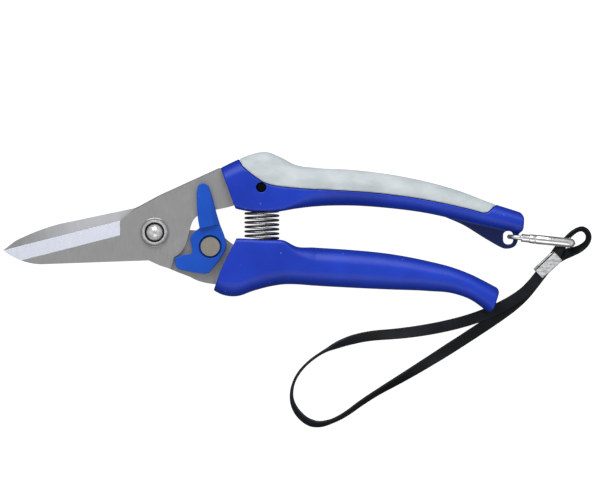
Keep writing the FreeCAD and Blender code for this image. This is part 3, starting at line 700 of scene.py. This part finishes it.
# Control points of the wrist loop: out of the crimp, round to the left and back over itself.
WRIST_ROUTE = (
    (151.65, -12.45, 1.08), (147.0, -18.9, 1.08), (141.0, -26.2, 1.0), (132.6, -32.6, 0.68),
    (115.5, -43.8, 0.8), (97.5, -55.0, 2.0), (82.0, -63.9, 2.5), (70.5, -72.6, 2.45),
    (60.0, -75.0, 2.45), (52.0, -66.5, 2.45), (53.4, -55.8, 2.45), (62.5, -46.8, 2.45),
    (78.0, -40.2, 2.1), (97.0, -39.0, 1.2), (114.0, -36.0, 1.75), (127.5, -31.9, 1.85),
    (140.6, -25.2, 2.2), (147.0, -18.9, 2.26), (151.65, -12.45, 2.3),
)
# How far the wrist loop leans over, in degrees, at shares of its length.
WRIST_LEAN = (
    (0.0, 0), (0.20, 0), (0.28, -38), (0.34, -62), (0.385, -68), (0.425, -74), (0.46, -54), (0.485, -60),
    (0.515, -84), (0.535, -90), (0.60, -92), (0.613, -98), (0.63, -122), (0.657, -142), (0.70, -154),
    (0.74, -165), (0.80, -180), (1.0, -180),
)
# Control points of the short loop: out of the crimp, through the snap hook and back.
HOOK_ROUTE = (
    (152.9, -11.3, 1.1), (156.4, -9.0, 1.3), (160.2, -7.7, 2.4), (163.9, -6.5, 2.55), (167.2, -3.8, 2.6),
    (167.5, -0.5, 2.6), (165.0, 1.8, 3.0), (161.2, 0.2, 4.6), (157.6, -3.6, 4.9), (156.0, -6.5, 3.0),
    (154.6, -9.0, 2.2), (153.2, -10.8, 2.2),
)
HOOK_LEAN = (
    (0.0, 0), (0.10, -8), (0.25, -50), (0.4, -72), (0.60, -75), (0.74, -70), (0.84, -30), (0.90, 0),
    (1.0, 0),
)


def route_line(name, points):
    """Points along the smooth line that the control points steer."""
    data = bpy.data.curves.new(name, "CURVE")
    data.dimensions = "3D"
    spline = data.splines.new("NURBS")
    spline.points.add(len(points) - 1)
    for control, point in zip(spline.points, points):
        control.co = (*at(*point), 1)
    spline.order_u = 3
    spline.use_endpoint_u = True
    spline.resolution_u = 16
    route = bpy.data.objects.new(name, data)
    mesh = bpy.data.meshes.new_from_object(route)
    line = [v.co.copy() for v in mesh.vertices]
    bpy.data.meshes.remove(mesh)
    bpy.data.objects.remove(route)
    return line


def strap_section():
    """The strap's outline across its width; (across, up) in metres."""
    wide, thick = STRAP_WIDE / 2 * MM, STRAP_THICK / 2 * MM
    upper = [(a * wide, b * thick) for a, b in STRAP_TOP]
    right = [(a * wide, b * thick) for a, b in STRAP_EDGE]
    lower = [(a, -b) for a, b in reversed(upper)]
    left = [(-a, -b) for a, b in right]
    return upper + right + lower + left


def ribbon(name, route, lean):
    """The strap's mesh along a route, and the line that it follows."""
    line = route_line(name + "_route", route)
    steps = np.linalg.norm(np.diff(np.array(line), axis=0), axis=1)
    along = np.concatenate([[0], np.cumsum(steps)]) / steps.sum()
    leans = np.radians(np.interp(along, [s for s, _ in lean], [d for _, d in lean]))
    rings = []
    for i, middle in enumerate(line):
        ahead = (line[min(i + 1, len(line) - 1)] - line[max(i - 1, 0)]).normalized()
        level = Vector((0, 0, 1)).cross(ahead).normalized()
        over = ahead.cross(level).normalized()
        turn = Matrix.Rotation(leans[i], 3, ahead)
        across, up = turn @ level, turn @ over
        rings.append([middle + across * a + up * b for a, b in strap_section()])
    made = loft(name, rings)
    made.data.shade_smooth()
    return made, line, float(steps.sum())


def lay_strap(name, route, lean, look, node):
    """One run of strap, with its material and body."""
    made, line, length = ribbon(name, route, lean)
    dress(made, look, "strap", "strap_black", node)


def make_strap(look):
    """The wrist loop, and the short loop that holds the snap hook."""
    lay_strap("wrist_strap_cord", WRIST_ROUTE, WRIST_LEAN, look, "wrist_strap")
    lay_strap("hook_loop_cord", HOOK_ROUTE, HOOK_LEAN, look, "hook_loop")


# The crimp's centre, its turn from the X axis in degrees, and half its length, width and height.
CRIMP = (151.65, -12.45, 1.69)
CRIMP_TURN = 43.4
CRIMP_HALF = (5.15, 2.7, 1.62)
CRIMP_WALL = 0.42
CRIMP_ROWS, CRIMP_SIDES = 41, 132
# A power under 1 squares the crimp's section off.
CRIMP_POWER = 0.72
# The seam's distance from the crimp's middle line, its width and its depth; then the dents' depth.
SEAM_AT, SEAM_WIDE, SEAM_DEEP = 1.85, 0.15, 0.30
DENT_DEEP = 0.07


def squared(part):
    """A sine or cosine pushed outwards, for a circle with flattened sides."""
    return math.copysign(abs(part) ** CRIMP_POWER, part)


def crimp_ring(along, inset):
    """One ring of the crimp: a flattened tube with a seam down its upper left and shallow dents."""
    middle, turn = Vector(at(*CRIMP)), math.radians(CRIMP_TURN)
    ahead = Vector((math.cos(turn), math.sin(turn), 0))
    across = Vector((-math.sin(turn), math.cos(turn), 0))
    wide, tall = CRIMP_HALF[1] - inset, CRIMP_HALF[2] - inset
    ring = []
    for step in range(CRIMP_SIDES):
        angle = 2 * math.pi * step / CRIMP_SIDES
        b, c = wide * squared(math.cos(angle)), tall * squared(math.sin(angle))
        if inset == 0.0 and c > 0.0:
            seam = math.exp(-((b - SEAM_AT) / SEAM_WIDE) ** 2)
            dent = math.sin(1.1 * along + 0.9 * b) * math.sin(0.8 * along - 1.6 * b + 1.0)
            c += DENT_DEEP * dent - SEAM_DEEP * seam
        ring.append(middle + (ahead * along + across * b + Vector((0, 0, c))) * MM)
    return ring


def make_crimp(metal):
    """Rolled metal crimp round both runs of the strap."""
    half = CRIMP_HALF[0]
    places = np.linspace(-half, half, CRIMP_ROWS)
    outer = [crimp_ring(along, 0.0) for along in places]
    inner = [crimp_ring(along, CRIMP_WALL) for along in places[::-1]]
    crimp = loft("strap_crimp", outer + inner, closed=True)
    crimp.data.shade_smooth()
    dress(crimp, metal, "strap", "bright_metal", "strap_ferrule")


# The centre of the eye that the snap hook hangs in, and how the hook is turned there, in degrees.
EYE = (136.85, -1.7, 8.25)
HOOK_YAW, HOOK_DROOP = -5.9, 6.5
# The gate's height over the hook's middle line.
GATE_UP = 4.95
GATE_SIDES = 40
GATE_BEVEL = 0.06
# The gate's radius at distances along the hook, with a shallow turned groove behind its nose.
GATE_PROFILE = (
    (6.35, 1.45), (6.5, 1.60), (7.3, 1.74), (8.8, 1.76), (8.95, 1.71), (9.45, 1.71), (9.6, 1.78),
    (15.0, 1.78), (20.5, 1.80), (22.2, 1.78), (23.2, 1.62), (23.9, 1.28), (24.25, 0.80), (24.4, 0.30),
)


def make_gate_sleeve(metal):
    """Gate of the snap hook: a round sleeve with a rounded heel."""
    yaw = Matrix.Rotation(math.radians(HOOK_YAW), 3, "Z")
    tilt = yaw @ Matrix.Rotation(math.radians(HOOK_DROOP), 3, "Y")
    across, up = Vector((0, 1, 0)), Vector((0, 0, 1))
    rings = []
    for u, radius in GATE_PROFILE:
        ring = circle(Vector((u, 0, GATE_UP)), across, up, radius, GATE_SIDES)
        rings.append([at(*EYE) + tilt @ spot * MM for spot in ring])
    sleeve = loft("gate_sleeve", rings)
    bevel = sleeve.modifiers.new("turned", "BEVEL")
    bevel.width = GATE_BEVEL * MM
    bevel.segments = 2
    bevel.limit_method = "ANGLE"
    settle(sleeve)
    sleeve.data.shade_smooth()
    dress(sleeve, metal, "gate", "bright_metal", "hook_gate")


# ---------------------------------------------------------------- grips

# Stations of each grip from front to tail: the place along X, the lower edge and the upper edge.
UPPER_STATIONS = (
    (21.0, 10.2, 22.4), (27.0, 10.2, 25.6), (32.5, 8.8, 28.2), (37.5, 7.9, 30.1), (43.0, 7.7, 30.9),
    (48.0, 8.1, 29.1), (54.0, 9.1, 26.0), (61.0, 9.9, 24.9), (75.0, 10.3, 24.1), (90.0, 9.3, 22.4),
    (105.0, 7.3, 19.4), (118.0, 4.4, 15.7), (130.0, 1.9, 11.1), (136.0, 0.6, 9.2),
    (146.0, -1.8, 6.0),
)
LOWER_STATIONS = (
    (20.0, -20.6, -2.3), (26.0, -24.0, -2.3), (31.5, -24.6, -2.3), (38.0, -22.5, -2.5),
    (44.0, -20.9, -2.8), (50.0, -20.0, -3.2), (54.0, -20.0, -5.3), (61.0, -20.5, -5.8),
    (75.0, -21.3, -6.7), (90.0, -22.0, -8.2), (105.0, -22.6, -11.0), (115.0, -23.6, -13.6),
    (122.0, -26.2, -16.3), (128.0, -30.6, -19.3), (136.0, -37.2, -23.6),
)
# The underside's and the top's height along X, the same for both grips.
DEPTH_STATIONS = (
    (0.0, 0.0, 16.5), (56.0, 0.1, 16.5), (70.0, 1.75, 16.1), (90.0, 2.35, 15.2), (112.0, 2.95, 14.2),
    (146.0, 3.0, 13.6),
)
# Outlines that trim the tails, each point with the radius of its corner.
UPPER_TAIL = (
    (0, 60, 0), (0, -60, 0), (128, -60, 0), (128, 2.0, 0), (141.6, -0.9, 2.3), (142.2, 7.4, 3.5),
    (128, 12.0, 0), (128, 60, 0),
)
LOWER_TAIL = (
    (0, 60, 0), (0, -60, 0), (122, -60, 0), (122, -26.4, 0), (129.5, -32.0, 2.2), (132.9, -21.8, 2.3),
    (122, -16.0, 0), (122, 60, 0),
)
# Outlines that cut off the front ends.
UPPER_FRONT = ((0.0, 0.0), (34.4, 0.0), (22.0, 34.0), (0.0, 34.0))
LOWER_FRONT = (
    (0.0, -40.0), (16.0, -40.0), (22.8, -21.9), (25.7, -14.1), (27.8, -9.5), (30.6, -4.2), (32.6, 0.0),
    (0.0, 0.0),
)
# Where each tail gets rounder.
UPPER_SOFT, LOWER_SOFT = 137.5, 127.0
PEG_HOLE = (41.0, 17.2)
PEG_RADIUS = 1.9
PEG_FLOOR = 11.2
# Corner radii of a grip's section: all round, and beside the spring as far as SEAT_END.
GRIP_CORNER = 6.2
SEAT_CORNER = 1.5
SEAT_END, SEAT_FADE = 50.0, 12.0
# A corner's radius is at most this share of the section's width and height.
CORNER_LIMIT = 0.46
# Steps round each corner and parts along each side.
CORNER_STEPS = 10
SIDE_PARTS = 8
# How far the top falls from its middle to its sides.
CROWN = 0.35
# Thickness of the soft insert.
SKIN = 2.0
# The distance between a grip's sections, then its final mesh's cell and smoothing passes.
GRIP_STEP = 1.0
GRIP_VOXEL = 0.34
MOULD_PASSES = 3

# The spring's axis, its two ends, the radius of its coils and of its wire.
SPRING_X, SPRING_Z = 41.2, 8.25
SPRING_LOW, SPRING_HIGH = -5.4, 10.6
SPRING_R, SPRING_WIRE = 6.35, 0.42
SPRING_TURNS = 9.6
SEAT_RADIUS = 7.1


def smooth_at(xs, ys, x):
    """The value at x on a smooth line through the stations."""
    slopes = np.gradient(ys, xs)
    i = int(np.clip(np.searchsorted(xs, x) - 1, 0, len(xs) - 2))
    span = xs[i + 1] - xs[i]
    t = (x - xs[i]) / span
    return ((2 * t ** 3 - 3 * t ** 2 + 1) * ys[i] + (t ** 3 - 2 * t ** 2 + t) * span * slopes[i]
            + (3 * t ** 2 - 2 * t ** 3) * ys[i + 1] + (t ** 3 - t ** 2) * span * slopes[i + 1])


def rounded_ring(x, low, high, corners, crown):
    """A box section at x with a corner radius for each side of Y and a slightly crowned top."""
    (y0, z0), (y1, z1) = low, high
    ring = []
    for y, z, corner, start in ((y1, z0, corners[1], -90), (y1, z1, corners[1], 0),
                                (y0, z1, corners[0], 90), (y0, z0, corners[0], 180)):
        middle_y = y - corner if y == y1 else y + corner
        middle_z = z - corner if z == z1 else z + corner
        for step in range(CORNER_STEPS + 1):
            turn = math.radians(start + 90 * step / CORNER_STEPS)
            ring.append((middle_y + corner * math.cos(turn), middle_z + corner * math.sin(turn)))
    dense = []
    for number, ((ya, za), (yb, zb)) in enumerate(zip(ring, ring[1:] + ring[:1]), start=1):
        parts = SIDE_PARTS if number % (CORNER_STEPS + 1) == 0 else 1
        for part in range(parts):
            t = part / parts
            dense.append((ya + (yb - ya) * t, za + (zb - za) * t))
    middle, half = (y0 + y1) / 2, (y1 - y0) / 2
    placed = []
    for y, z in dense:
        fall = crown * ((y - middle) / half) ** 2 * max(0.0, (z - (z0 + z1) / 2) / ((z1 - z0) / 2))
        placed.append(at(x, y, z - fall))
    return placed


def grip_bar(name, stations, seat_is_low, inset=0.0):
    """A smooth bar through the stations; inset leaves room for a soft skin above and around."""
    xs, lows, highs = (np.array(column) for column in zip(*stations))
    depth_x, unders, overs = (np.array(column) for column in zip(*DEPTH_STATIONS))
    rings = []
    for x in np.arange(xs[0], xs[-1], GRIP_STEP):
        low = (smooth_at(xs, lows, x), np.interp(x, depth_x, unders) + inset)
        high = (smooth_at(xs, highs, x) - inset, np.interp(x, depth_x, overs) - inset)
        full = min(GRIP_CORNER, CORNER_LIMIT * (high[0] - low[0]), CORNER_LIMIT * (high[1] - low[1]))
        part = min(max((x - SEAT_END) / SEAT_FADE, 0.0), 1.0)
        seat = min(SEAT_CORNER + part * (GRIP_CORNER - SEAT_CORNER), full)
        corners = (seat, full) if seat_is_low else (full, seat)
        rings.append(rounded_ring(x, low, high, corners, CROWN if inset == 0.0 else 0.0))
    return loft(name, rings)


def rounded_corner(before, corner, after, radius):
    """Points of the arc that rounds a corner of an outline."""
    here = Vector(corner)
    back = (Vector(before) - here).normalized()
    ahead = (Vector(after) - here).normalized()
    half = back.angle(ahead) / 2
    middle = here + (back + ahead).normalized() * radius / math.sin(half)
    start = here + back * radius / math.tan(half) - middle
    end = here + ahead * radius / math.tan(half) - middle
    first = math.atan2(start.y, start.x)
    sweep = (math.atan2(end.y, end.x) - first + math.pi) % (2 * math.pi) - math.pi
    turns = [first + sweep * step / CORNER_STEPS for step in range(CORNER_STEPS + 1)]
    return [(middle.x + radius * math.cos(turn), middle.y + radius * math.sin(turn)) for turn in turns]


def tail_block(name, corners):
    """An upright prism that trims a grip's tail to an outline with rounded corners."""
    outline = []
    for i, (x, y, radius) in enumerate(corners):
        if radius == 0:
            outline.append((x, y))
        else:
            after = corners[(i + 1) % len(corners)]
            outline.extend(rounded_corner(corners[i - 1][:2], (x, y), after[:2], radius))
    return prism(name, outline)


# The border between the soft insert and the blue grip, from front to back, and a corner past the grip.
INSERT_FRONT = (32.6, 28.6)
INSERT_BACK = (131.0, 10.6)
INSERT_PAST = (138.0, 40.0)
INSERT_EDGE = ((33.8, 25.4), (38.9, 21.3), (44.4, 18.4), (55.9, 16.9), (71.3, 16.1), (86.7, 15.0),
               (104.0, 12.6), (120.0, 9.2), (126.2, 7.55), (128.4, 8.1))
# The gap between the insert and the blue grip.
GROOVE = 0.22


def insert_room(name, grow):
    """The upright region of the soft insert, its border moved outwards by grow."""
    front_x, front_y = INSERT_FRONT
    back_x, back_y = INSERT_BACK
    past_x, past_y = INSERT_PAST
    front = [(front_x - grow, past_y), (front_x - grow, front_y)]
    border = [(x, y - grow) for x, y in through(INSERT_EDGE)]
    back = [(back_x + grow, back_y), (past_x + grow, past_y)]
    return prism(name, front + border + back)


def spring_seat(low, high):
    """A bar round the spring's axis that sinks the spring's seat into a grip."""
    return bar("seat", at(SPRING_X, low, SPRING_Z), (0, (high - low) * MM, 0), SEAT_RADIUS * MM)


# The fin's underside, top and outline.
FIN_LOW, FIN_HIGH = 5.85, 10.65
FIN_OUTLINE = [(139.0, 3.0), (112.0, 8.0)] + through(
    ((112.0, 5.8), (119.0, 2.7), (127.1, -2.3), (133.1, -5.7), (135.9, -6.3), (138.6, -5.3),
     (139.7, -3.0), (140.0, 0.6)))
# Centres of the eye slot's four rounded corners, and where each arc starts, in degrees.
EYE_CORNERS = ((136.4, -1.1, 0), (135.6, -1.1, 90), (135.6, -3.0, 180), (136.4, -3.0, 270))
EYE_RADIUS = 1.6
EYE_STEPS = 6


def eye_slot():
    """Rounded slot in the fin for the snap hook."""
    outline = []
    for x, y, start in EYE_CORNERS:
        for step in range(EYE_STEPS + 1):
            turn = math.radians(start + 90 * step / EYE_STEPS)
            outline.append((x + EYE_RADIUS * math.cos(turn), y + EYE_RADIUS * math.sin(turn)))
    return prism("eye_slot", outline, 0.0, 20.0)


def make_upper_grip(plastic, rubber):
    """Blue grip with its fin and eye, and the soft insert let into its back."""
    skin = grip_bar("soft_insert_moulding", UPPER_STATIONS, True)
    carve(skin, insert_room("room", 0.0), "INTERSECT")
    core = grip_bar("core", UPPER_STATIONS, True, inset=SKIN)
    carve(skin, core, keep_tool=True)

    grip = grip_bar("upper_grip_moulding", UPPER_STATIONS, True)
    carve(grip, tail_block("tail", UPPER_TAIL), "INTERSECT")
    carve(grip, prism("front", UPPER_FRONT))
    room = insert_room("room", GROOVE)
    carve(room, core)
    carve(grip, room)
    carve(grip, prism("fin", FIN_OUTLINE, FIN_LOW, FIN_HIGH), "UNION")
    carve(grip, eye_slot())
    carve(grip, spring_seat(5.0, SPRING_HIGH))
    carve(grip, bar("peg", at(*PEG_HOLE, PEG_FLOOR), (0, 0, DRILL * MM), PEG_RADIUS * MM))
    mould(grip, GRIP_VOXEL, MOULD_PASSES, soft_from=UPPER_SOFT)
    mould(skin, GRIP_VOXEL, MOULD_PASSES)
    dress(grip, plastic, "upper_handle", "grip_plastic", "upper_grip")
    dress(skin, rubber, "upper_handle", "soft_insert", "upper_grip_insert")


def make_lower_grip(plastic):
    """Plain blue grip with a hooked tail."""
    grip = grip_bar("lower_grip_moulding", LOWER_STATIONS, False)
    carve(grip, tail_block("tail", LOWER_TAIL), "INTERSECT")
    carve(grip, prism("front", LOWER_FRONT))
    carve(grip, spring_seat(SPRING_LOW, 0.0))
    mould(grip, GRIP_VOXEL, MOULD_PASSES, soft_from=LOWER_SOFT)
    dress(grip, plastic, "lower_handle", "grip_plastic", "lower_grip")


# ---------------------------------------------------------------- latch

# The rivet's place, the radii of its hole and of the recess round its head, and the recess's floor.
RIVET = (21.4, -5.5)
RIVET_HOLE, RIVET_RECESS = 2.05, 4.36
RECESS_FLOOR = 10.7
# Heights of the plate round the rivet and of the thumb arm.
BOSS_LOW, BOSS_HIGH = 8.32, 12.2
ARM_LOW, ARM_HIGH = 10.8, 13.8
LATCH_VOXEL = 0.2


def latch_boss():
    """Outline of the plate round the rivet, with its lower nose."""
    return (
        [(23.9, 4.0)]
        + through(((17.0, 1.5), (14.9, -0.3), (13.6, -2.5), (14.05, -4.3)))
        + [(14.5, -7.2), (14.2, -8.3), (10.8, -8.7), (7.9, -9.9)]
        + through(((7.75, -10.8), (8.0, -12.5), (8.9, -13.8), (10.8, -14.6)))
        + [(16.7, -15.7)]
        + through(((19.4, -15.9), (20.6, -15.7), (21.3, -15.0)))
        + [(24.7, -11.0)]
        + through(((27.0, -7.2), (27.6, -5.2), (27.0, -1.9), (25.2, 2.8)))
    )


def latch_arm():
    """Outline of the thumb arm."""
    return (
        [(25.2, 2.8), (21.0, 2.2)]
        + through(((17.4, 1.3), (16.7, 5.1), (16.3, 10.5), (16.2, 15.5)))
        + through(((16.3, 15.9), (16.9, 18.0), (18.9, 18.8), (20.8, 17.8)))
        + [(22.6, 12.2), (23.8, 7.5)]
    )


def make_latch(plastic):
    """Latch plate with a raised arm whose right side slopes down."""
    latch = prism("thumb_latch", latch_boss(), BOSS_LOW, BOSS_HIGH)
    arm = prism("arm", latch_arm(), ARM_LOW, ARM_HIGH)
    slope = loft("slope", [
        [at(20.4, 22.0, 13.9), at(20.4, 22.0, 16.0), at(28.0, 22.0, 16.0), at(28.0, 22.0, 9.6)],
        [at(22.4, 1.0, 13.9), at(22.4, 1.0, 16.0), at(30.0, 1.0, 16.0), at(30.0, 1.0, 9.6)],
    ])
    carve(arm, slope)
    carve(latch, arm, "UNION")
    carve(latch, bar("bore", at(*RIVET, 0.0), (0, 0, DRILL * MM), RIVET_HOLE * MM))
    carve(latch, bar("recess", at(*RIVET, RECESS_FLOOR), (0, 0, DRILL * MM), RIVET_RECESS * MM))
    mould(latch, LATCH_VOXEL, MOULD_PASSES)
    dress(latch, plastic, "latch", "latch_plastic", "latch_lever")


# ---------------------------------------------------------------- spring

COIL_STEPS, WIRE_SIDES = 48, 14
# Turns at each end that lie closed, and their rise for each turn in wire radii.
SEAT_TURNS, SEAT_RISE = 0.9, 2.2
# Steps to each side over which the pitch changes from closed to open.
PITCH_FADE = 12


def make_spring(metal):
    """Compression spring between the grips, with a closed coil at each end."""
    foot, head = SPRING_LOW + SPRING_WIRE, SPRING_HIGH - SPRING_WIRE
    closed = SEAT_RISE * SPRING_WIRE * SEAT_TURNS
    turns = np.linspace(0, SPRING_TURNS, int(SPRING_TURNS * COIL_STEPS) + 1)
    heights = np.interp(turns, [0, SEAT_TURNS, SPRING_TURNS - SEAT_TURNS, SPRING_TURNS],
                        [foot, foot + closed, head - closed, head])
    window = 2 * PITCH_FADE + 1
    heights = np.convolve(np.pad(heights, PITCH_FADE, mode="edge"), np.ones(window) / window, mode="valid")
    line = []
    for turn, height in zip(turns, heights):
        angle = 2 * math.pi * turn
        line.append(at(SPRING_X + SPRING_R * math.cos(angle), height, SPRING_Z + SPRING_R * math.sin(angle)))
    rings = []
    for i, middle in enumerate(line):
        ahead = (line[min(i + 1, len(line) - 1)] - line[max(i - 1, 0)]).normalized()
        outward = middle - at(SPRING_X, 0, SPRING_Z)
        outward.y = 0
        outward = (outward - ahead * outward.dot(ahead)).normalized()
        rings.append(circle(middle, outward, ahead.cross(outward), SPRING_WIRE * MM, WIRE_SIDES))
    spring = loft("spring_coil", rings)
    spring.data.shade_smooth()
    spring.data.materials.append(metal)
    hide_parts("return_spring")
    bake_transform(spring)


# ---------------------------------------------------------------- CAD nodes that stay

def paint(look, slot, *nodes):
    """Give CAD nodes their material, and leave their shapes alone; slot is not used."""
    for name in nodes:
        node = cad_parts[name]
        node.data.materials.clear()
        node.data.materials.append(look)


# ---------------------------------------------------------------- the whole object

make_camera()
make_strap(strap_black())
make_stage()
grip_blue = grip_plastic()
make_upper_grip(grip_blue, soft_insert())
make_lower_grip(grip_blue)
make_latch(latch_plastic())
make_spring(spring_steel())
polished = bright_metal()
make_crimp(crimp_metal())
make_gate_sleeve(polished)
# The back blade's steel carries the painted highlight along its jaw; the front blade's has none.
front_steel = blade_steel("front_blade_steel", (0.50, 0.492, 0.480), (0.575, 0.566, 0.553), 0.0)
back_steel = blade_steel("back_blade_steel", (0.48, 0.475, 0.47), (0.56, 0.555, 0.55), 1.0)
paint(front_steel, "blade_steel", "front_blade")
paint(back_steel, "blade_steel", "back_blade")
paint(pivot_metal(), "bright_metal", "pivot_bolt", "pivot_collar", "pivot_washer", "pivot_nut")
paint(polished, "bright_metal", "hook_body", "hook_gate_pin", "hook_gate_plunger")
paint(rivet_steel(), "rivet_steel", "latch_rivet", "latch_rivet_burr", "latch_spring_washer")
paint(spring_steel(), "spring_steel", "hook_gate_spring")
